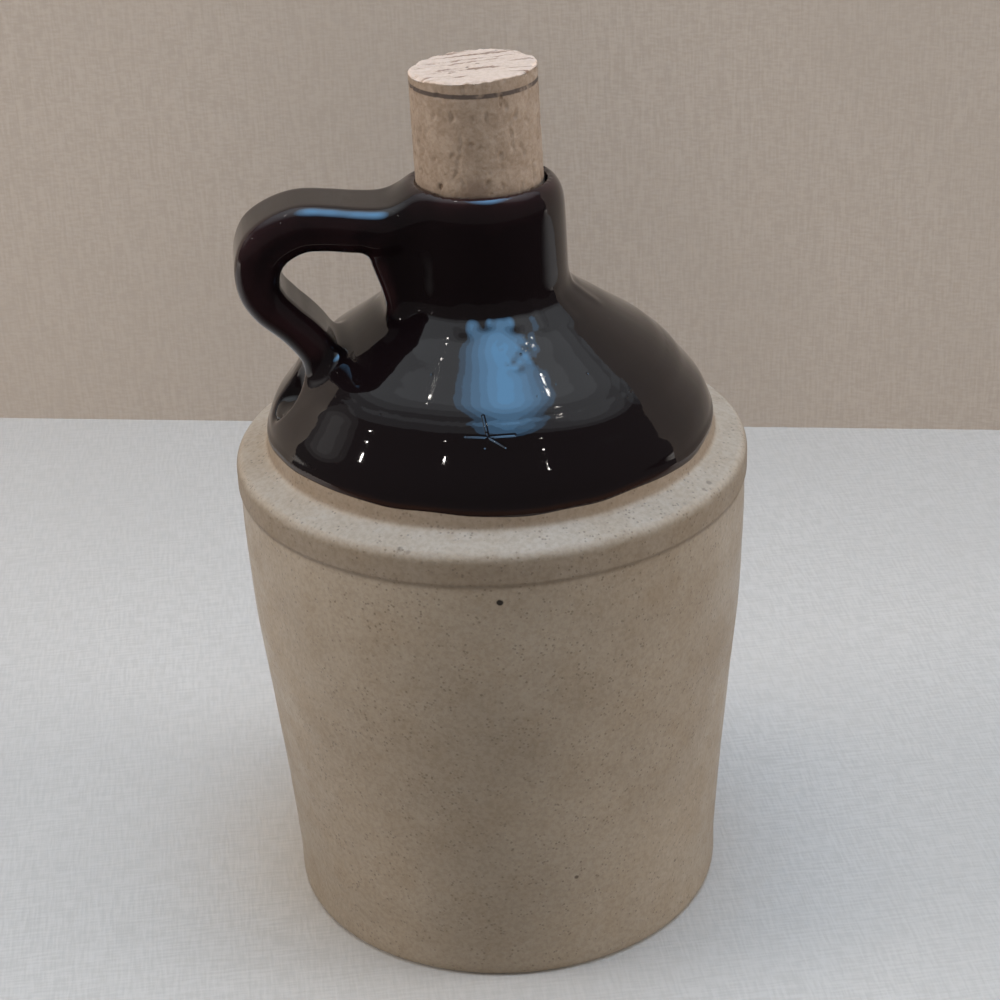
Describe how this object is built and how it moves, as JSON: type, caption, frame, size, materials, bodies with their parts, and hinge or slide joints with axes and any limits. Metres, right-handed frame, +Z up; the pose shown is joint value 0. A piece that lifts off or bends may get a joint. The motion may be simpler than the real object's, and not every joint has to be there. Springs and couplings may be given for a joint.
{
  "type": "stoneware whiskey jug",
  "caption": "Small stoneware whiskey jug: tapering body with a raised band, domed shoulder, short neck, strap handle and a cork in the mouth.",
  "frame": {"origin": "centre of the foot, on the surface that the jug stands on", "axes": "+Z up through the cork, the strap handle on the -X side in the X-Z plane"},
  "size_m": [0.0962, 0.0962, 0.1662],
  "materials": {
    "stoneware": "satin",
    "cork": "matte"
  },
  "bodies": {
    "root": {"jug": "stoneware", "cork": "cork"}
  },
  "joints": []
}
